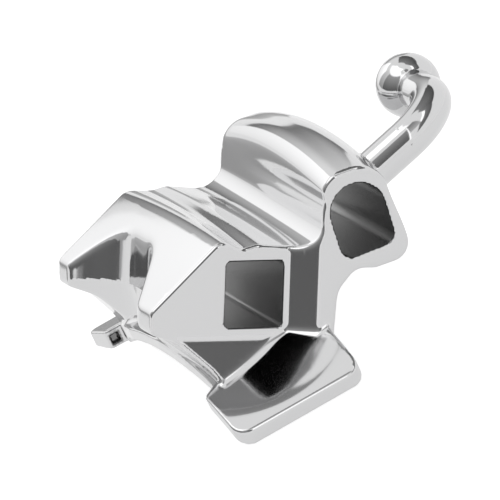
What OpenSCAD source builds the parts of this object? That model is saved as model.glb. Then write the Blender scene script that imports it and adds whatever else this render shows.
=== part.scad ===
// One-piece molar buccal tube: base with two feet, archwire tube, auxiliary tube, split wing and ball hook.
// X runs mesially, Y gingivally and Z buccally; Z = 0 is the level of the mesial foot.

/* [Body] */
// Length of the tube block, mesial face to distal face
body_l = 3.17; // [2.4:0.01:4.2]
// Turn of the archwire tube against the base, in degrees
torque = 28; // [20:1:34]
// Height of the archwire tube's base corner over the mesial foot
slot_rise = 0.97; // [0.85:0.01:1.1]
// Distance of that corner from the middle of the base, on the occlusal side
slot_offset = 0.28; // [0.2:0.01:0.4]
// Radius that rounds the outline's outer corners
edge_r = 0.05; // [0.02:0.005:0.06]

/* [Archwire tube] */
// Occluso-gingival width of the archwire tube
slot_w = 0.64; // [0.5:0.01:0.7]
// Bucco-lingual depth of the archwire tube
slot_d = 0.71; // [0.6:0.01:0.75]
// Radius in the corners of the archwire tube
slot_r = 0.05; // [0.02:0.005:0.1]
// Wall over the archwire tube
slot_roof = 0.15; // [0.1:0.01:0.2]
// Wall between the archwire tube and the bevel beside it
slot_side = 0.05; // [0.04:0.01:0.1]

/* [Auxiliary tube] */
// Width of the auxiliary tube's opening
aux_w = 0.62; // [0.5:0.01:0.68]
// Height of the opening, floor to crown of the arch
aux_h = 0.76; // [0.7:0.01:0.8]
// Radius in the two floor corners of the opening
aux_r = 0.14; // [0.05:0.01:0.2]
// Turn of the opening against the archwire tube, in degrees
aux_turn = 20; // [10:1:26]
// Gingival place of the floor's middle, from the archwire tube's base corner
aux_y = 1.51; // [1.46:0.01:1.56]
// Buccal place of the floor's middle
aux_z = 0.84; // [0.8:0.01:0.88]
// Wall around the opening
aux_wall = 0.14; // [0.1:0.01:0.18]
// How far the auxiliary mouth stands mesially of the archwire mouth
aux_reach = 0.26; // [0.1:0.01:0.4]
// Fall of the barrel's crown from mid length to its ends
crown_sag = 0.12; // [0.05:0.01:0.2]
// Turn of the apron under the archwire mouth, which leans out to the foot, in degrees
apron_turn = 26; // [10:1:32]
// Depth of the apron's upper end below the archwire tube
apron_drop = 0.09; // [0.05:0.01:0.15]

/* [Wing] */
// Occlusal reach of the wing tips from the archwire tube
wing_reach = 0.82; // [0.7:0.01:0.95]
// Thickness of the wing at its tips
wing_tip = 0.14; // [0.1:0.01:0.16]
// Depth of the scoop that splits the wing into two prongs, from their tips
notch_depth = 0.465; // [0.4:0.005:0.5]
// Length of the scoop's back wall
notch_l = 1.22; // [1:0.01:1.4]
// Distal shift of the scoop from mid length
notch_shift = 0.36; // [0.2:0.01:0.45]
// Radius of the scoop's two inner corners
notch_r = 1.1; // [0.3:0.01:1.3]
// Slant of the scoop's mesial side, in degrees
notch_mesial = 61; // [50:1:64]
// Slant of the scoop's distal side, in degrees
notch_distal = 29; // [20:1:34]
// Height at which the scoop's back wall turns inwards, from the tube's base corner
under_z = 0.1; // [0.02:0.01:0.12]
// Slant of the wall below that height, in degrees
under_turn = 17; // [10:1:20]

/* [Base] */
// Occluso-gingival width of the base
base_w = 1.52; // [1.4:0.01:1.6]
// Thickness of the base and its feet
base_t = 0.15; // [0.1:0.01:0.2]
// Outer radius of the base's arch
base_r = 4.625; // [4.3:0.025:5.2]
// Mesial shift of the arch's axis from mid length
arch_shift = 0.13; // [0:0.01:0.2]
// Mesial foot beyond the tube block
foot_mesial = 0.945; // [0.8:0.005:1.1]
// Distal foot beyond the tube block
foot_distal = 0.77; // [0.5:0.01:0.9]
// Start of the flat tab of the distal foot, before the block's distal face
tab_lead = 0.085; // [0.05:0.005:0.2]
// Slope of that tab, in degrees
tab_turn = 12; // [8:1:14]
// How far the mesial foot stands to the occlusal side
foot_shift = 0.09; // [0.05:0.01:0.12]
// Depth of the neck beside the mesial foot
neck = 0.15; // [0.08:0.01:0.18]
// Radius of the feet's corners
foot_r = 0.16; // [0.05:0.01:0.2]
// Depth of the dish in the top of the mesial foot
foot_dish = 0.045; // [0.02:0.005:0.06]

/* [Ball hook] */
// Diameter of the hook's shaft
shaft_d = 0.43; // [0.3:0.01:0.5]
// Diameter of the ball
ball_d = 0.7; // [0.6:0.01:0.9]
// Straight run of the shaft outside the barrel
shaft_run = 0.36; // [0.2:0.01:0.6]
// Bend radius of the shaft's centre line
bend_r = 0.58; // [0.45:0.01:0.8]
// Straight run from the bend to the ball's centre
ball_run = 0.62; // [0.5:0.01:0.8]
// Lift of the shaft from the base's plane, in degrees
shaft_lift = 13; // [0:1:25]
// Shaft's centre line behind the archwire mouth
shaft_back = 0.26; // [0.24:0.01:0.5]

/* [Hidden] */

$fn = 48;
arc_steps = 6;
arch_steps = 24;
over = 0.3;

mouth_x = body_l / 2;
tail_x = -body_l / 2;
notch_y = notch_depth - wing_reach;
foot_end_x = mouth_x + foot_mesial;
tail_end_x = tail_x - foot_distal;
base_inner_r = base_r - base_t;
// Height of the arch's axis, so that the end of the mesial foot is at Z = 0
arch_z = -sqrt(base_inner_r * base_inner_r - (foot_end_x - arch_shift) * (foot_end_x - arch_shift));
// Place where the underside of the distal tab leaves the arch
tab_x = tail_x + tab_lead;
tab_z = arch_z + sqrt(base_inner_r * base_inner_r - (tab_x - arch_shift) * (tab_x - arch_shift));

// Heights and places of the block's outline in the archwire tube's axes, on its base corner
ridge_z = slot_d + slot_roof;
lip_y = slot_w + slot_side;
aux_half = aux_w / 2 + aux_wall;

// A place given across and up from the middle of the auxiliary tube's floor
function at_aux(a, b) =
    [aux_y + a * cos(aux_turn) - b * sin(aux_turn), aux_z + a * sin(aux_turn) + b * cos(aux_turn)];

// Arc of n steps about c, from the angle a0 to a1
function arc(c, r, a0, a1, n) =
    [for (i = [0:n]) let (a = a0 + (a1 - a0) * i / n) c + r * [cos(a), sin(a)]];

// Corner of an outline rounded by a tangent arc
function unit(v) = v / norm(v);
function corner(a, b, c, r) =
    let (u = unit(a - b), w = unit(c - b), half = acos(max(-1, min(1, u * w))) / 2,
         reach = min(r / tan(half), norm(a - b) * 0.48, norm(c - b) * 0.48), rr = reach * tan(half),
         m = b + unit(u + w) * (rr / sin(half)), s = b + u * reach - m, e = b + w * reach - m,
         a0 = atan2(s.y, s.x), turn = atan2(s.x * e.y - s.y * e.x, s * e))
    arc(m, rr, a0, a0 + turn, arc_steps);
function rounded(p, r) =
    let (n = len(p)) [for (i = [0:n - 1]) each corner(p[(i + n - 1) % n], p[i], p[(i + 1) % n], r[i])];

// Upper corners of the barrel at mid length, before they are rounded
barrel_left = at_aux(-aux_half * 0.46, aux_h + aux_wall * 2.3);
barrel_right = at_aux(aux_half, aux_h + aux_wall * 2.1);

// Outline of the block across its length: wing, ridged top, groove, barrel, waist and root
block_points = [
    [-wing_reach, wing_tip * 0.75],
    [-edge_r * 1.4, ridge_z + edge_r * 1.6],
    [slot_w * 0.16, ridge_z - edge_r / 2],
    [slot_w * 0.42, ridge_z + edge_r / 2],
    [lip_y, ridge_z - edge_r / 2],
    at_aux(-aux_half, aux_h * 0.32),
    barrel_left,
    barrel_right,
    at_aux(aux_half, -aux_wall * 1.45),
    at_aux(0, -aux_wall * 1.25),
    at_aux(-aux_half * 0.9, -aux_wall * 3),
    at_aux(-aux_half * 1.5, -aux_h),
    at_aux(-aux_half * 2.3, -aux_h * 1.8),
    [-slot_w * 0.02, -slot_d * 0.9],
    [-slot_w * 0.28, -slot_d * 0.6],
    [-wing_reach * 0.63, -wing_tip],
    [-wing_reach * 0.98, -wing_tip * 0.4],
];
block_radii_share = [1.6, 3, 3, 3, 1.5, 5, 5, 8, 3, 3, 6, 3, 1, 1, 8, 8, 1];

// Puts children drawn in the archwire tube's axes on the base
module on_torque() {
    translate([0, -slot_offset, slot_rise]) rotate([-torque, 0, 0]) children();
}

// Outline drawn in Y and Z, carried from x0 to x1
module along_x(x0, x1) {
    translate([x0, 0, 0]) rotate([90, 0, 90]) linear_extrude(x1 - x0) children();
}

module block() {
    on_torque() difference() {
        intersection() {
            along_x(tail_x, mouth_x + aux_reach) polygon(rounded(block_points, edge_r * block_radii_share));
            crown();
        }
        mouth_step();
        slot_bore();
        aux_bore();
        wing_scoop();
    }
}

// The barrel's rounded top, turned about an axis far below, so that it falls towards both ends
module crown() {
    crown_r = body_l * body_l / (8 * crown_sag) + crown_sag / 2;
    axis_z = barrel_left.y - crown_r;
    low = -slot_d - over;
    clear_z = ridge_z + aux_wall;
    side_y = barrel_right.x + aux_wall * 2;
    outline = [[-wing_reach - over, low], [-wing_reach - over, clear_z], [lip_y, clear_z],
        barrel_left, barrel_right, [side_y, barrel_left.y - aux_h], [side_y, low]];
    translate([0, 0, axis_z]) rotate([-90, 0, 0]) rotate_extrude($fn = 240)
        polygon([for (p = rounded(outline, edge_r * [1, 1, 1, 5, 8, 1, 1])) [p.y - axis_z, p.x]]);
}

// The archwire mouth stands back from the auxiliary mouth behind a slanted wall, and leans out below its tube
module mouth_step() {
    far_x = mouth_x + aux_reach + over;
    far_y = lip_y + aux_reach + over;
    low = -slot_d - over;
    difference() {
        translate([0, 0, low]) linear_extrude(ridge_z + barrel_left.y)
            polygon([[mouth_x, -wing_reach - over], [far_x, -wing_reach - over], [far_x, far_y], [mouth_x, lip_y]]);
        translate([0, far_y, 0]) rotate([90, 0, 0]) linear_extrude(far_y + wing_reach + 2 * over)
            polygon([
                [mouth_x - over, -apron_drop],
                [mouth_x, -apron_drop],
                [mouth_x + (-low - apron_drop) * tan(apron_turn), low],
                [mouth_x - over, low],
            ]);
    }
}

module slot_bore() {
    slot = [[0, 0], [slot_w, 0], [slot_w, slot_d], [0, slot_d]];
    along_x(tail_x - over, mouth_x + over) polygon(rounded(slot, [for (p = slot) slot_r]));
}

// Floor and side of the archwire tube, whose corner would else break through the base's hollow at mid length
module slot_floor() {
    reach = slot_d * 1.35;
    wall = [[-slot_side, -slot_side], [lip_y, -slot_side], [lip_y, slot_d], [-slot_side, slot_d]];
    along_x(arch_shift - reach, arch_shift + reach)
        polygon(rounded(wall, [for (p = wall) slot_r + slot_side]));
}

// Opening with a flat floor and an arched crown
module aux_bore() {
    half = aux_w / 2;
    spring = aux_h - half;
    along_x(tail_x - over, mouth_x + aux_reach + over)
        translate([aux_y, aux_z]) rotate(aux_turn)
            polygon(concat(
                corner([-half, spring], [-half, 0], [half, 0], aux_r),
                corner([-half, 0], [half, 0], [half, spring], aux_r),
                arc([0, spring], half, 0, 180, arch_steps)));
}

// Scoop between the wing's two prongs, with slanting sides, and the slanting wall under it
module wing_scoop() {
    out = notch_depth + over;
    back = [-notch_shift - notch_l / 2, -notch_shift + notch_l / 2];
    plan = rounded([[back.x, 0], [back.y, 0], [back.y + out * tan(notch_mesial), -out],
        [back.x - out * tan(notch_distal), -out]], notch_r * [1, 1, 0.1, 0.1]);
    depth = slot_d + under_z + over;
    translate([0, notch_y, under_z]) {
        translate([0, 0, -out * sin(under_turn)]) linear_extrude(ridge_z + over + out) polygon(plan);
        rotate([under_turn, 0, 0]) translate([0, 0, -depth]) linear_extrude(depth) polygon(plan);
    }
}

// Plan of the base: the mesial foot stands out past a neck on the occlusal side
module base_plan() {
    half = base_w / 2;
    plan = [
        [tail_end_x, -foot_shift - half],
        [mouth_x, neck - foot_shift - half],
        [mouth_x + foot_mesial * 0.17, neck - foot_shift - half],
        [mouth_x + foot_mesial * 0.27, -foot_shift - half],
        [foot_end_x, -foot_shift - half],
        [foot_end_x, half - foot_shift],
        [tail_end_x, half],
    ];
    linear_extrude(slot_rise * 2) polygon(rounded(plan, foot_r * [1, 3, 0.4, 0.4, 1, 1, 1]));
}

// Underside of the base, or its top where it is raised by the base's thickness: an arch with a flat tail
module arch_profile(raise) {
    r = base_inner_r + raise;
    start = asin((tab_x - arch_shift) / base_inner_r);
    end = asin(min(1, (foot_end_x + over - arch_shift) / r));
    tail_run = tail_end_x - over - tab_x;
    lift = raise / cos(tab_turn);
    arch = arc([arch_shift, arch_z], r, 90 - start, 90 - end, 2 * arch_steps);
    tail = [tab_x + tail_run, tab_z + tail_run * tan(tab_turn) + lift];
    polygon(concat([[tail.x, arch_z], tail], [for (p = arch) if (p.x > tab_x) p], [[foot_end_x + over, arch_z]]));
}

// The profile carried across the base's width
module across(raise) {
    translate([0, base_w, 0]) rotate([90, 0, 0]) linear_extrude(base_w * 2) arch_profile(raise);
}

// Arched base, thick enough to join the block, with a dished mesial foot
module base() {
    difference() {
        intersection() {
            across(base_t);
            base_plan();
        }
        across(0);
        foot_dish();
    }
}

// Shallow dish in the top of the mesial foot
module foot_dish() {
    dish_r = base_w * 3;
    lean = asin((mouth_x + foot_mesial * 0.55 - arch_shift) / base_r);
    translate([arch_shift, -foot_shift, arch_z]) rotate([0, lean, 0])
        translate([0, 0, base_r + dish_r - foot_dish]) sphere(r = dish_r, $fn = 96);
}

// Curved shaft that leaves the barrel gingivally, bends distally and ends in a ball
module hook() {
    root_y = aux_y + aux_w * 0.4;
    root_z = aux_z + aux_h * 1.1;
    on_torque() translate([mouth_x - shaft_back, root_y, root_z]) rotate([torque + shaft_lift, 0, 0]) {
        translate([0, -shaft_d, 0]) rotate([-90, 0, 0]) cylinder(d = shaft_d, h = shaft_run + shaft_d);
        translate([-bend_r, shaft_run, 0]) rotate_extrude(angle = 90) translate([bend_r, 0]) circle(d = shaft_d);
        translate([-bend_r, shaft_run + bend_r, 0]) {
            rotate([0, -90, 0]) cylinder(d = shaft_d, h = ball_run);
            translate([-ball_run, 0, 0]) sphere(d = ball_d);
        }
    }
}

module buccal_tube() {
    color("silver") union() {
        difference() {
            union() {
                difference() {
                    block();
                    across(0);
                }
                base();
                on_torque() slot_floor();
            }
            on_torque() slot_bore();
        }
        difference() {
            hook();
            on_torque() aux_bore();
        }
    }
}

buccal_tube();
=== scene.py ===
import math

import bpy
import numpy as np
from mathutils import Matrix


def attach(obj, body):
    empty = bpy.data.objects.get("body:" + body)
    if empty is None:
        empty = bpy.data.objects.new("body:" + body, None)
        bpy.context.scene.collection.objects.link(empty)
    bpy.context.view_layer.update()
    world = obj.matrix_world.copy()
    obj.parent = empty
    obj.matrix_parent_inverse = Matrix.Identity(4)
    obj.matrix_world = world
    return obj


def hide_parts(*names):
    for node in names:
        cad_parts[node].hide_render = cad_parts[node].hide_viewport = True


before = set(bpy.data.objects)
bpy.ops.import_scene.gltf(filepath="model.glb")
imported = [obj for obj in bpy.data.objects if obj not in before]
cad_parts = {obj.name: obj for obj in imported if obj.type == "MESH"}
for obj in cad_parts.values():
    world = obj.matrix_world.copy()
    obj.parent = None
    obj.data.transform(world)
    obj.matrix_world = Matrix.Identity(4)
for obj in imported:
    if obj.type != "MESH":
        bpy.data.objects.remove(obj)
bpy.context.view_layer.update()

import openvdb
from mathutils import Matrix

# Tube block.
# The middle of the casting: one bar of stainless steel with a wing, a ridged top, a groove and a barrel,
# moulded from metal powder and sintered. Lengths are in millimetres, in the archwire tube's own axes.
BODY_L = 3.17
TORQUE = math.radians(28)
SLOT_RISE, SLOT_OFFSET = 0.97, 0.28
EDGE_R = 0.05
SLOT_W, SLOT_D = 0.64, 0.71
SLOT_ROOF, SLOT_SIDE = 0.15, 0.05
AUX_W, AUX_H, AUX_WALL = 0.62, 0.76, 0.14
AUX_Y, AUX_Z, AUX_TURN = 1.51, 0.84, math.radians(20)
WING_REACH, WING_TIP = 0.82, 0.14
CROWN_SAG, RIDGE_SAG, GROOVE_RISE = 0.12, 0.045, 0.07
CREASE = 0.02
MOUTH = BODY_L / 2
RIDGE_Z = SLOT_D + SLOT_ROOF
LIP_Y = SLOT_W + SLOT_SIDE
AUX_HALF = AUX_W / 2 + AUX_WALL


def at_aux(across, up):
    """Place across and up from the middle of the auxiliary tube's floor, turned by the opening's own angle."""
    c, s = math.cos(AUX_TURN), math.sin(AUX_TURN)
    return (AUX_Y + across * c - up * s, AUX_Z + across * s + up * c)


# Corner points of the block's outline, each with the radius that rounds it.
BLOCK_OUTLINE = [
    ((-WING_REACH, WING_TIP * 1.35), EDGE_R * 1.6),
    ((-EDGE_R * 1.4, RIDGE_Z + EDGE_R * 1.6), EDGE_R * 3),
    ((SLOT_W * 0.28, RIDGE_Z - EDGE_R / 2), EDGE_R * 3),
    ((SLOT_W * 0.56, RIDGE_Z + EDGE_R / 2), EDGE_R * 3),
    ((LIP_Y + SLOT_SIDE * 5.8, RIDGE_Z - EDGE_R / 2), EDGE_R * 7),
    (at_aux(-AUX_HALF * 0.46, AUX_H + AUX_WALL * 2.3), EDGE_R * 5),
    (at_aux(AUX_HALF, AUX_H + AUX_WALL * 2.1), EDGE_R * 7),
    (at_aux(AUX_HALF * 0.97, -AUX_WALL * 1.5), EDGE_R * 5),
    (at_aux(0, -AUX_WALL * 1.4), EDGE_R * 3),
    (at_aux(-AUX_HALF * 0.45, -AUX_WALL * 0.84), EDGE_R * 5),
    (at_aux(-AUX_HALF * 1.04, -AUX_WALL * 2), EDGE_R * 6),
    (at_aux(-AUX_HALF * 1.5, -AUX_H), EDGE_R * 3),
    (at_aux(-AUX_HALF * 2.3, -AUX_H * 1.8), EDGE_R),
    ((-SLOT_W * 0.02, -SLOT_D * 0.9), EDGE_R),
    ((-SLOT_W * 0.28, -SLOT_D * 0.6), EDGE_R * 8),
    ((-WING_REACH * 0.63, -WING_TIP), EDGE_R * 8),
    ((-WING_REACH * 0.98, -WING_TIP * 0.4), EDGE_R),
]


def rounded(outline, steps=10):
    """Each corner becomes an arc tangent to its two sides, no longer than just under half of either side."""
    out = []
    corners = [np.array(p, float) for p, _ in outline]
    for i, (_, radius) in enumerate(outline):
        before, here, after = corners[i - 1], corners[i], corners[(i + 1) % len(corners)]
        u, w = before - here, after - here
        long_u, long_w = np.linalg.norm(u), np.linalg.norm(w)
        u, w = u / long_u, w / long_w
        half = math.acos(float(np.clip(u @ w, -1, 1))) / 2
        reach = min(radius / math.tan(half), long_u * 0.48, long_w * 0.48)
        r = reach * math.tan(half)
        middle = here + (u + w) / np.linalg.norm(u + w) * r / math.sin(half)
        s, e = here + u * reach - middle, here + w * reach - middle
        start = math.atan2(s[1], s[0])
        turn = math.atan2(s[0] * e[1] - s[1] * e[0], s @ e)
        angles = start + turn * np.arange(steps + 1) / steps
        out.append(middle + r * np.stack([np.cos(angles), np.sin(angles)], 1))
    return np.concatenate(out)


class Outline:
    """Signed distance to a closed outline, kept on a fine square grid and softened by a small Gaussian,
    so that its arcs read back as one smooth curve. Cubic interpolation gives it at any place."""

    STEP, MARGIN = 0.01, 0.5

    def __init__(self, points, soften):
        self.low = points.min(0) - self.MARGIN
        self.count = np.ceil((points.max(0) + self.MARGIN - self.low) / self.STEP).astype(int)
        h, v = np.meshgrid(*(self.low[i] + self.STEP * np.arange(self.count[i]) for i in (0, 1)), indexing="ij")
        nearest, inside = np.full(h.shape, 1e9), np.zeros(h.shape, bool)
        for (ax, ay), (bx, by) in zip(points, np.roll(points, -1, 0)):
            ex, ey = bx - ax, by - ay
            t = np.clip(((h - ax) * ex + (v - ay) * ey) / max(ex * ex + ey * ey, 1e-12), 0, 1)
            nearest = np.minimum(nearest, (h - ax - t * ex) ** 2 + (v - ay - t * ey) ** 2)
            if ay != by:
                crosses = (ay > v) != (by > v)
                inside ^= crosses & (h < ex * (v - ay) / ey + ax)
        field = np.sqrt(nearest) * np.where(inside, -1, 1)
        taps = np.arange(-12, 13)
        weight = np.exp(-0.5 * (taps * self.STEP / soften) ** 2)
        weight /= weight.sum()
        for axis in (0, 1):
            field = sum(w * np.roll(field, k, axis) for k, w in zip(taps, weight))
        self.field = field.astype(np.float32)

    def __call__(self, h, v):
        gh = np.clip((h - self.low[0]) / self.STEP, 2, self.count[0] - 3)
        gv = np.clip((v - self.low[1]) / self.STEP, 2, self.count[1] - 3)
        ih, iv = gh.astype(np.int32), gv.astype(np.int32)
        total = 0
        for k, wh in enumerate(self.spline(gh - ih)):
            row = 0
            for m, wv in enumerate(self.spline(gv - iv)):
                row = row + wv * self.field[ih + k - 1, iv + m - 1]
            total = total + wh * row
        return total

    @staticmethod
    def spline(t):
        """Weights of the uniform cubic B-spline."""
        s = 1 - t
        return s**3 / 6, (3 * t**3 - 6 * t**2 + 4) / 6, (3 * s**3 - 6 * s**2 + 4) / 6, t**3 / 6


def smooth_min(a, b, k):
    """Lesser of two distances, joined over a width k by a cubic, which fills the inner corner with a fillet."""
    h = np.maximum(k - np.abs(a - b), 0) / k
    return np.minimum(a, b) - h * h * h * k / 6


def smooth_max(a, b, k):
    """Greater of two distances, joined over a width k, which rounds the outer corner."""
    return -smooth_min(-a, -b, k)


def ramp(t, low, high):
    """0 below low, 1 above high, and a smooth cubic between."""
    s = np.clip((t - low) / (high - low), 0, 1)
    return s * s * (3 - 2 * s)


block_outline = Outline(rounded(BLOCK_OUTLINE), 0.014)
FACE_STEP = 0.26
FACE_EDGE = 0.07
APRON_TURN, APRON_DROP = math.radians(26), 0.09


def block(x, h, v):
    """The outline carried along the length. Towards both ends the barrel's top falls by an arc, distally by
    more, and the ridges by a smaller one; the groove rises a little distally. The archwire mouth is a flat
    face, joined to the auxiliary mouth by a slant, and it leans out below the tube as an apron. A shallow
    crease, deepest mesially, runs along the barrel's side: depth * exp(-((v - 1.36) / 0.1)^2)."""
    share = (x / MOUTH) ** 2
    barrel = ramp(h, 0.72, 1.0) * ramp(v, 1.0, 1.55)
    ridges = (1 - ramp(h, 0.5, 0.95)) * ramp(v, 0.3, 0.85)
    fall = CROWN_SAG * share * np.where(x < 0, 1.4, 1) * barrel
    groove = (0.5 - x / BODY_L) * ramp(h, -0.05, 0.2) * ramp(v, 0.3, 0.8)
    rise = RIDGE_SAG * (1 - share) * ridges + GROOVE_RISE * groove
    body = block_outline(h, v + fall - rise * (1 - ramp(v, 1.0, 1.5)))
    body = body + CREASE * ramp(x, -1.1, 0.9) * np.exp(-(((v - 1.36) / 0.1) ** 2)) * ramp(1.2 - h, 0, 0.15)
    slant = (x - MOUTH - (h - LIP_Y)) * math.sqrt(0.5)
    apron = (x - MOUTH) * math.cos(APRON_TURN) + (v + APRON_DROP) * math.sin(APRON_TURN)
    mouth = smooth_min(smooth_min(x - MOUTH, apron, 0.05), slant, 0.03)
    front = smooth_max(mouth, x - MOUTH - FACE_STEP, 0.03)
    body = smooth_max(body, front, FACE_EDGE)
    return smooth_max(body, -x - MOUTH, 0.05 + 0.3 * ramp(v, 1.2, 1.7))


# Archwire tube and auxiliary tube.
# Two straight holes through the whole length, left by cores in the mould: one rectangular for the archwire,
# one with a flat floor and an arched roof for a round auxiliary wire. Their rims are only slightly eased.
SLOT_CORNER, AUX_CORNER, RIM = 0.05, 0.14, 0.02


def slot_hole(h, v):
    """Distance to a rectangle with rounded corners."""
    a = np.abs(h - SLOT_W / 2) - SLOT_W / 2 + SLOT_CORNER
    b = np.abs(v - SLOT_D / 2) - SLOT_D / 2 + SLOT_CORNER
    return np.hypot(np.maximum(a, 0), np.maximum(b, 0)) + np.minimum(np.maximum(a, b), 0) - SLOT_CORNER


def aux_hole(h, v):
    """A half circle over a rectangle, in the turned axes of the opening, with round floor corners."""
    c, s = math.cos(AUX_TURN), math.sin(AUX_TURN)
    across = (h - AUX_Y) * c + (v - AUX_Z) * s
    up = (v - AUX_Z) * c - (h - AUX_Y) * s
    half = AUX_W / 2
    spring = AUX_H - half
    a = np.abs(across) - half + AUX_CORNER
    b = AUX_CORNER - up
    box = np.hypot(np.maximum(a, 0), np.maximum(b, 0)) + np.minimum(np.maximum(a, b), 0) - AUX_CORNER
    arch = np.hypot(across, np.maximum(up - spring, 0)) - half
    return np.where(up > spring, arch, np.maximum(box, np.abs(across) - half))


# Wing.
# A plate that leans down to the occlusal side, split into two prongs by a scoop, so that a ligature can be
# tied behind them. It is moulded with the block; under the scoop the block's wall falls away inwards.
NOTCH_DEPTH, NOTCH_L, NOTCH_SHIFT, NOTCH_R = 0.465, 1.22, 0.36, 1.1
NOTCH_MESIAL, NOTCH_DISTAL = math.radians(61), math.radians(29)
UNDER_Z, UNDER_RISE, UNDER_TAPER = 0.1, 0.17, 0.3
NOTCH_H = NOTCH_DEPTH - WING_REACH
OUT = 1.0

# Plan of the scoop, in length and occlusal reach: two slanting sides and a back wall.
NOTCH_OUTLINE = [
    ((-NOTCH_SHIFT - NOTCH_L / 2, NOTCH_H), NOTCH_R),
    ((-NOTCH_SHIFT + NOTCH_L / 2, NOTCH_H), NOTCH_R),
    ((-NOTCH_SHIFT + NOTCH_L / 2 + OUT * math.tan(NOTCH_MESIAL), NOTCH_H - OUT), EDGE_R),
    ((-NOTCH_SHIFT - NOTCH_L / 2 - OUT * math.tan(NOTCH_DISTAL), NOTCH_H - OUT), EDGE_R),
]
notch_outline = Outline(rounded(NOTCH_OUTLINE), 0.014)


def scoop(x, h, v):
    """The plan carried straight up. Below a line that rises towards the block it widens as it goes down."""
    depth = np.maximum(UNDER_Z + UNDER_RISE * (h - NOTCH_H) - v, 0)
    return (notch_outline(x, h) - UNDER_TAPER * depth) / math.hypot(1, UNDER_TAPER / 2)


# Base.
# A thin arched plate under the block with a foot at each end, bent to the tooth and welded or bonded to it.
# The mesial foot is wide and dished, the distal one a short flat tab behind a step with a square pit in it.
BASE_W, BASE_T, BASE_R, ARCH_X = 1.52, 0.15, 4.625, 0.13
FOOT_MESIAL, FOOT_DISTAL, FOOT_R, FOOT_DISH, FOOT_SHIFT = 0.945, 0.77, 0.16, 0.045, 0.09
NECK = 0.15
TAB_START, TAB_TURN = -1.5, math.radians(12)
TAB_TOP_TURN, TAB_T, TAB_DROP = math.radians(8), 0.12, 0.07
STEP_X, TAB_EDGE, TAB_STEP = -1.8, -0.77, 0.2
STEP_RUN_OUT, SIDE_FULL = (-0.9, -0.755), (-0.5, -0.785)
PIT_Y, PIT_Z, PIT_HALF, PIT_DEPTH = -0.69, 0.355, 0.055, 0.06
INNER_R = BASE_R - BASE_T
FOOT_END = MOUTH + FOOT_MESIAL
TAIL_END = -MOUTH - FOOT_DISTAL
ARCH_Z = -math.sqrt(INNER_R**2 - (FOOT_END - ARCH_X) ** 2)
TAB_Z = ARCH_Z + math.sqrt(INNER_R**2 - (TAB_START - ARCH_X) ** 2)

# Plan of the base: both feet stand out on the occlusal side, the mesial one past a neck, the distal one
# past its step.
BASE_OUTLINE = [
    ((TAIL_END, TAB_EDGE * 1.09), FOOT_R * 0.7),
    ((STEP_X, TAB_EDGE), EDGE_R * 0.6),
    ((STEP_X, TAB_EDGE + TAB_STEP), EDGE_R),
    (STEP_RUN_OUT, FOOT_R * 3),
    (SIDE_FULL, FOOT_R * 3),
    ((MOUTH, NECK - FOOT_SHIFT - BASE_W / 2), FOOT_R * 3),
    ((MOUTH + FOOT_MESIAL * 0.17, NECK - FOOT_SHIFT - BASE_W / 2), FOOT_R * 0.4),
    ((MOUTH + FOOT_MESIAL * 0.27, -FOOT_SHIFT - BASE_W / 2), FOOT_R * 0.4),
    ((FOOT_END, -FOOT_SHIFT - BASE_W / 2), FOOT_R),
    ((FOOT_END, BASE_W / 2 - FOOT_SHIFT), FOOT_R),
    ((TAIL_END, BASE_W / 2), FOOT_R),
]
base_outline = Outline(rounded(BASE_OUTLINE), 0.014)


def under_arch(x, z):
    """Distance to the hollow under the base: a cylinder about the arch's axis, then a slanting flat. Before
    the distal foot both are TAB_DROP lower, by a smooth cubic each way."""
    z = z + TAB_DROP * ramp(-x, 0.8, 1.3) * (1 - ramp(-x, 1.8, 2.4))
    tab = (TAB_Z - z) * math.cos(TAB_TURN) + (x - TAB_START) * math.sin(TAB_TURN)
    return np.maximum(INNER_R - np.hypot(x - ARCH_X, z - ARCH_Z), np.where(x < 0, tab, -9))


def base(x, y, z):
    """The plate lies between the hollow and a cylinder or flat above it, inside the plan. A sphere whose
    lowest point is FOOT_DISH deep takes the dish out of the mesial foot."""
    tab = (z - TAB_Z) * math.cos(TAB_TOP_TURN) - (x - TAB_START) * math.sin(TAB_TOP_TURN) - TAB_T
    top = smooth_min(np.hypot(x - ARCH_X, z - ARCH_Z) - BASE_R, np.where(x < 0, tab, 9), 0.1)
    plate = smooth_max(top, under_arch(x, z), 0.05)
    plate = smooth_max(plate, base_outline(x, y), 0.05)
    radius = BASE_W * 3.8
    middle = MOUTH + FOOT_MESIAL * 0.42
    angle = math.asin((middle - ARCH_X) / BASE_R)
    reach = BASE_R + radius - FOOT_DISH
    cx, cz = ARCH_X + reach * math.sin(angle), ARCH_Z + reach * math.cos(angle)
    bowl = np.sqrt((x - cx) ** 2 + (y + FOOT_SHIFT) ** 2 + (z - cz) ** 2) - radius
    plate = smooth_max(plate, -bowl, 0.04)
    return np.maximum(plate, -z + 0.002)


def pit(x, y, z):
    """Square pit in the step beside the distal foot. It narrows by a third of its depth, to a flat floor."""
    depth = STEP_X - x
    walls = np.maximum(np.abs(y - PIT_Y), np.abs(z - PIT_Z)) - PIT_HALF + depth / 3
    return np.maximum(walls * 0.95, np.maximum(depth - PIT_DEPTH, -depth - EDGE_R))


# Ball hook.
# A round shaft that leaves the barrel on the gingival side, bends distally and ends in a ball for elastics.
# It is part of the same casting, polished all round.
SHAFT_D, BALL_D, SHAFT_RUN, BEND_R, BALL_RUN = 0.43, 0.7, 0.36, 0.58, 0.62
SHAFT_LIFT, SHAFT_BACK = math.radians(13), 0.26


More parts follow.
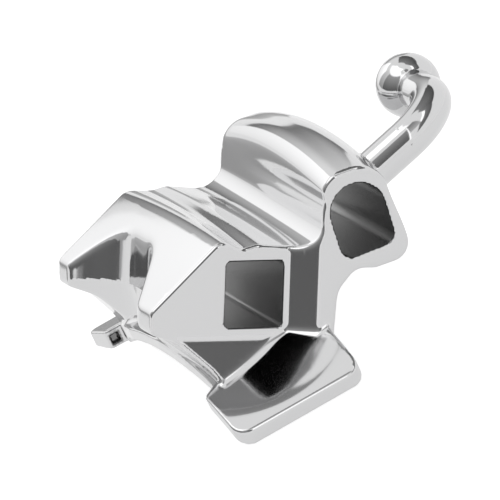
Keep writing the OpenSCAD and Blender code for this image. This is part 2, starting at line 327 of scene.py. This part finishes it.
def hook(x, h, v):
    """In the hook's own plane: a straight tube, a quarter of a ring, a straight tube, and a ball."""
    root_h, root_v = AUX_Y + AUX_W * 0.4, AUX_Z + AUX_H * 1.1
    lift = TORQUE + SHAFT_LIFT
    along = (h - root_h) * math.cos(lift) + (v - root_v) * math.sin(lift)
    off = (v - root_v) * math.cos(lift) - (h - root_h) * math.sin(lift)
    side = x - (MOUTH - SHAFT_BACK)
    out = along - SHAFT_RUN
    radius = SHAFT_D / 2
    straight = np.maximum(np.hypot(side, off) - radius, np.maximum(out, -along - SHAFT_D))
    around = np.hypot(side + BEND_R, out) - BEND_R
    bend = np.where((out > 0) & (side > -BEND_R), np.hypot(around, off) - radius, 9)
    tip = np.where(side <= -BEND_R, np.hypot(out - BEND_R, off) - radius, 9)
    tip = np.maximum(tip, -BEND_R - BALL_RUN - side)
    ball = np.sqrt((side + BEND_R + BALL_RUN) ** 2 + (out - BEND_R) ** 2 + off**2) - BALL_D / 2
    shaft = np.minimum(np.minimum(straight, bend), tip)
    return smooth_min(shaft, ball, 0.02)


# The casting.
# All of these are one piece of metal, so they are one closed skin: the fields are joined with fillets where
# metal flows together, the holes are taken out, and the skin is drawn where the sum is zero.
def to_base(h, v):
    """Y and Z of a place in the archwire tube's axes: turned by the torque, then moved onto the base."""
    c, s = math.cos(TORQUE), math.sin(TORQUE)
    return c * h + s * v - SLOT_OFFSET, c * v - s * h + SLOT_RISE


def casting(x, h, v):
    """Signed distance to the whole casting, in the archwire tube's axes."""
    y, z = to_base(h, v)
    solid = smooth_max(block(x, h, v), -scoop(x, h, v), 0.08)
    solid = smooth_max(solid, under_arch(x, z), 0.03)
    solid = smooth_min(solid, base(x, y, z), 0.07 + 0.1 * ramp(MOUTH - np.abs(x), 0.1, 0.5))
    solid = smooth_max(solid, -pit(x, y, z), 0.015)
    floor = np.maximum(slot_hole(h, v) - SLOT_SIDE, np.abs(x - ARCH_X) - SLOT_D * 1.35)
    solid = smooth_min(solid, floor, 0.03)
    solid = smooth_min(solid, hook(x, h, v), 0.015)
    solid = smooth_max(solid, -slot_hole(h, v), RIM)
    return smooth_max(solid, -aux_hole(h, v), RIM)


def skin(step):
    """Field on a grid of the given step, in slabs along the length, then its zero surface as quads and
    triangles, fewer where it is nearly flat, with each point moved along the gradient onto the zero."""
    low = np.array([TAIL_END - 0.1, -1.1, -1.4])
    high = np.array([FOOT_END + 0.1, 3.1, 2.9])
    count = np.ceil((high - low) / step).astype(int)
    xs, hs, vs = (low[i] + step * np.arange(count[i]) for i in range(3))
    grid = np.empty(count, np.float32)
    for i in range(0, count[0], 8):
        x, h, v = np.meshgrid(xs[i:i + 8], hs, vs, indexing="ij")
        grid[i:i + 8] = casting(x, h, v)
    volume = openvdb.FloatGrid(1.0)
    volume.copyFromArray(np.clip(grid / step, -4, 4).astype(np.float32))
    points, triangles, quads = volume.convertToPolygons(isovalue=0.0, adaptivity=0.001)
    points = low + points.astype(float) * step
    for _ in range(3):
        value, slope = with_slope(points)
        points = points - slope * (value / np.maximum((slope**2).sum(1), 0.05))[:, None]
    return points, triangles, quads


def with_slope(points, d=0.002):
    """Field and its gradient by central differences."""
    value = casting(*points.T)
    slope = np.stack([
        (casting(*(points + d * axis).T) - casting(*(points - d * axis).T)) / (2 * d)
        for axis in np.eye(3)
    ], 1)
    return value, slope


# Width of the band on the hole walls, and the depth over which their painted shade and dull finish come in from
# the mouths.
WALL, FADE = 0.015, 0.06


def bore_shade_and_dull_mask(points):
    """Mask for the painted shade and the dull finish in the holes: 1 on the walls of the pit and of the two
    holes,
    there less towards the mouths: the depth from the nearer end over FADE."""
    x, h, v = points.T
    slot = (np.abs(slot_hole(h, v)) < WALL) * np.clip((MOUTH - x) / FADE, 0, 1)
    aux = (np.abs(aux_hole(h, v)) < WALL) * np.clip((MOUTH + FACE_STEP - x) / FADE, 0, 1)
    holes = np.maximum(slot, aux) * np.clip((x + MOUTH) / FADE, 0, 1)
    return np.maximum(holes, np.abs(pit(x, *to_base(h, v))) < WALL)


def make_casting():
    """Mesh of the skin in metres, turned from the archwire tube's axes onto the base."""
    points, triangles, quads = skin(0.02)
    _, slope = with_slope(points)
    normals = slope / np.linalg.norm(slope, axis=1)[:, None]
    c, s = math.cos(TORQUE), math.sin(TORQUE)
    turn = np.array([[1, 0, 0], [0, c, s], [0, -s, c]])
    places = (points @ turn.T + [0, -SLOT_OFFSET, SLOT_RISE]) / 1000
    mesh = bpy.data.meshes.new("buccal_tube_skin")
    faces = quads.tolist() + triangles.tolist()
    mesh.from_pydata(places, [], faces)
    mesh.polygons.foreach_set("use_smooth", np.ones(len(mesh.polygons), bool))
    mesh.update()
    mesh.normals_split_custom_set_from_vertices(normals @ turn.T)
    # Per point: where the walls of the holes get painted shade in their colour and their real duller finish.
    bore_shade_and_dull = mesh.attributes.new("bore_shade_and_dull", "FLOAT", "POINT")
    bore_shade_and_dull.data.foreach_set("value", bore_shade_and_dull_mask(points).astype(np.float32))
    piece = bpy.data.objects.new("buccal_tube_skin", mesh)
    bpy.context.scene.collection.objects.link(piece)
    return piece


def polished_steel():
    """Bright steel, nearly mirror smooth outside. In the holes it is dull, where no polish reaches, and its
    colour is darkened: painted shade for the shade that falls inside them.
    Each value is the outside's plus the holes' shade-and-dullness attribute times the difference."""
    material = bpy.data.materials.new("polished_steel")
    material.use_nodes = True
    nodes, links = material.node_tree.nodes, material.node_tree.links
    shader = nodes["Principled BSDF"]
    shader.inputs["Metallic"].default_value = 1
    bore_shade_and_dull = nodes.new("ShaderNodeAttribute")
    bore_shade_and_dull.attribute_name = "bore_shade_and_dull"
    # On the walls of the holes the steel's colour is mixed down to dark grey, which is painted shade for the
    # shade inside the holes. The roughness also rises there, which is their real duller finish.
    tone = nodes.new("ShaderNodeMix")
    tone.data_type = "RGBA"
    tone.inputs["A"].default_value = (0.66, 0.66, 0.665, 1)
    tone.inputs["B"].default_value = (0.24, 0.24, 0.24, 1)
    dull = nodes.new("ShaderNodeMapRange")
    dull.inputs["To Min"].default_value, dull.inputs["To Max"].default_value = 0.08, 0.22
    links.new(bore_shade_and_dull.outputs["Fac"], tone.inputs["Factor"])
    links.new(bore_shade_and_dull.outputs["Fac"], dull.inputs["Value"])
    links.new(tone.outputs["Result"], shader.inputs["Base Color"])
    links.new(dull.outputs["Result"], shader.inputs["Roughness"])
    return material


casting_piece = make_casting()
casting_piece.data.materials.append(polished_steel())
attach(casting_piece, "root")
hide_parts("buccal_tube")

# Floor, light and camera.
# A white table under the part, a white room behind it, dark flags in front, and soft boxes over it.
VIEW_H = np.array([0.9467, 0.0343, 0.3192])
VIEW_V = np.array([0.0248, 0.9834, -0.1791])
PIXEL = 0.0105
FRAME = 500
CORNER_PIXEL = (224.4, 328.7)
LENS, SENSOR = 1000, 36

# How white the floor is by itself to the camera and in reflections, what the camera sees more, and its colour.
FLOOR_OWN, FLOOR_EXTRA, FLOOR_LIT = 0.6, 0.2, 0.5

# Each screen's name, distance, lower and upper brightness, and corner directions.
SCREENS = [
    ("gingival_dark_1", 100, 0.12, 0.3, ((24, 13), (90, 40), (90, 70), (34, 34))),
    ("gingival_dark_2", 100, 0.08, 0.3, ((90, 40), (158, 31), (158, 68), (90, 70))),
    ("gingival_strip", 90, 1.7, 1.7, ((40, 36), (74, 54), (74, 62), (42, 44))),
    ("mesial_dark", 100, 0.12, 0.35, ((-8, 10), (9, 10), (9, 62), (-8, 58))),
    ("mesial_strip", 100, 1.7, 1.7, ((9, 8), (12, 8), (12, 72), (9, 72))),
    ("mesial_grey", 100, 0.6, 0.26, ((12, 36), (40, 36), (40, 70), (12, 70))),
    ("front_grey", 100, 0.2, 0.45, ((-48, 14), (-8, 12), (-8, 58), (-48, 58))),
    ("occlusal_dark", 100, 0.12, 0.45, ((-122, 13), (-48, 13), (-48, 58), (-116, 58))),
    ("occlusal_light", 100, 1.5, 1.7, ((-170, 60), (-20, 60), (-20, 75), (-170, 75))),
    ("distal_grey", 100, 0.4, 0.9, ((-146, 12), (-122, 12), (-116, 58), (-146, 58))),
    ("distal_strip", 100, 1.1, 1.7, ((-179, 9), (-148, 9), (-148, 46), (-179, 46))),
    ("distal_band", 95, 0.15, 1.0, ((150, 12), (180, 13), (180, 34), (154, 36))),
    ("distal_low", 22, 0.35, 0.6, ((-200, -2), (-144, -2), (-144, 5), (-200, 5))),
    ("top_light", 100, 1.7, 1.7, ((-180, 75), (25, 75), (25, 90), (-180, 90))),
]


def to_row(p):
    """From the archwire tube's axes (gingival, buccal, mesial) to the part's X, Y and Z."""
    c, s = math.cos(TORQUE), math.sin(TORQUE)
    return np.array([p[2], c * p[0] + s * p[1], c * p[1] - s * p[0]])


def place_camera():
    """Square to the picture's right and up, with the archwire tube's base corner on its own pixel."""
    right = to_row(VIEW_H)
    right /= np.linalg.norm(right)
    up = to_row(VIEW_V)
    up -= right * (up @ right)
    up /= np.linalg.norm(up)
    back = np.cross(right, up)
    corner = np.array([MOUTH, -SLOT_OFFSET, SLOT_RISE])
    centre = corner + PIXEL * ((FRAME / 2 - CORNER_PIXEL[0]) * right + (CORNER_PIXEL[1] - FRAME / 2) * up)
    far = FRAME * PIXEL * LENS / SENSOR
    data = bpy.data.cameras.new("camera")
    data.lens, data.sensor_width = LENS, SENSOR
    data.clip_start, data.clip_end = far * 1e-5, far * 1e-2
    camera = bpy.data.objects.new("camera", data)
    bpy.context.scene.collection.objects.link(camera)
    place = np.eye(4)
    place[:3, 0], place[:3, 1], place[:3, 2] = right, up, back
    place[:3, 3] = (centre + back * far) / 1000
    camera.matrix_world = Matrix(place.tolist())
    bpy.context.scene.camera = camera


place_camera()


def plain(name, tone):
    """Matt grey of the given tone. What it shines with is white, and is linked by its maker."""
    material = bpy.data.materials.new(name)
    material.use_nodes = True
    shader = material.node_tree.nodes["Principled BSDF"]
    shader.inputs["Base Color"].default_value = (tone, tone, tone, 1)
    shader.inputs["Roughness"].default_value = 1
    shader.inputs["Specular IOR Level"].default_value = 0
    shader.inputs["Emission Color"].default_value = (1, 1, 1, 1)
    return material


def screen(name, radius, low, high, corners):
    """A curved screen about the part, `radius` mm away, that shines with `low` along its lower edge and
    `high` along its upper one. The corners are directions in degrees round from X and up from the floor:
    lower left, lower right, upper right, upper left; the places between are a * (1 - t) + b * t in both."""
    a, b, c, d = np.radians(np.array(corners, float))
    t, k = np.meshgrid(np.linspace(0, 1, 25), np.linspace(0, 1, 13), indexing="ij")
    t, k = t[..., None], k[..., None]
    turn, lift = np.moveaxis((a * (1 - t) + b * t) * (1 - k) + (d * (1 - t) + c * t) * k, -1, 0)
    places = np.stack([np.cos(lift) * np.cos(turn), np.cos(lift) * np.sin(turn), np.sin(lift)], -1).reshape(-1, 3)
    number = np.arange(25 * 13).reshape(25, 13)
    faces = np.stack([number[:-1, :-1], number[1:, :-1], number[1:, 1:], number[:-1, 1:]], -1).reshape(-1, 4)
    mesh = bpy.data.meshes.new(name)
    mesh.from_pydata((places * radius + [0, 1.0, 1.2]) / 1000, [], faces.tolist())
    layer = mesh.uv_layers.new(name="screen")
    corner = np.zeros(len(mesh.loops), int)
    mesh.loops.foreach_get("vertex_index", corner)
    layer.data.foreach_set("uv", np.stack([corner // 13 / 24, corner % 13 / 12], 1).ravel())
    material = plain(name, 0)
    nodes, links = material.node_tree.nodes, material.node_tree.links
    uv = nodes.new("ShaderNodeUVMap")
    uv.uv_map = "screen"
    split = nodes.new("ShaderNodeSeparateXYZ")
    fade = nodes.new("ShaderNodeMapRange")
    fade.inputs["To Min"].default_value, fade.inputs["To Max"].default_value = low, high
    links.new(uv.outputs["UV"], split.inputs["Vector"])
    links.new(split.outputs["Y"], fade.inputs["Value"])
    links.new(fade.outputs["Result"], nodes["Principled BSDF"].inputs["Emission Strength"])
    mesh.materials.append(material)
    piece = bpy.data.objects.new(name, mesh)
    piece.visible_camera = False
    bpy.context.scene.collection.objects.link(piece)


def white_floor():
    """Half of the floor's white is the light that falls on it, so that it keeps the part's shadow; the rest
    is its own, for the camera and for what the polished metal shows: own * max(camera, glossy) + extra *
    camera."""
    size = 2.0
    mesh = bpy.data.meshes.new("floor")
    mesh.from_pydata([(-size, -size, 0), (size, -size, 0), (size, size, 0), (-size, size, 0)], [], [(0, 1, 2, 3)])
    material = plain("white_floor", FLOOR_LIT)
    nodes, links = material.node_tree.nodes, material.node_tree.links
    path = nodes.new("ShaderNodeLightPath")
    seen = nodes.new("ShaderNodeMath")
    seen.operation = "MAXIMUM"
    level = nodes.new("ShaderNodeMath")
    level.operation = "MULTIPLY"
    level.inputs[1].default_value = FLOOR_OWN
    own = nodes.new("ShaderNodeMath")
    own.operation = "MULTIPLY_ADD"
    own.inputs[1].default_value = FLOOR_EXTRA
    links.new(path.outputs["Is Camera Ray"], seen.inputs[0])
    links.new(path.outputs["Is Glossy Ray"], seen.inputs[1])
    links.new(seen.outputs["Value"], level.inputs[0])
    links.new(path.outputs["Is Camera Ray"], own.inputs[0])
    links.new(level.outputs["Value"], own.inputs[2])
    links.new(own.outputs["Value"], nodes["Principled BSDF"].inputs["Emission Strength"])
    mesh.materials.append(material)
    floor = bpy.data.objects.new("floor", mesh)
    bpy.context.scene.collection.objects.link(floor)


def studio():
    """White room, and in it dark screens round the part above the horizon and bright ones over it."""
    world = bpy.data.worlds.new("white_room")
    world.use_nodes = True
    world.node_tree.nodes["Background"].inputs["Color"].default_value = (1, 1, 1, 1)
    world.node_tree.nodes["Background"].inputs["Strength"].default_value = 1
    bpy.context.scene.world = world
    for values in SCREENS:
        screen(*values)


white_floor()
studio()
bpy.context.scene.view_settings.view_transform = "Standard"
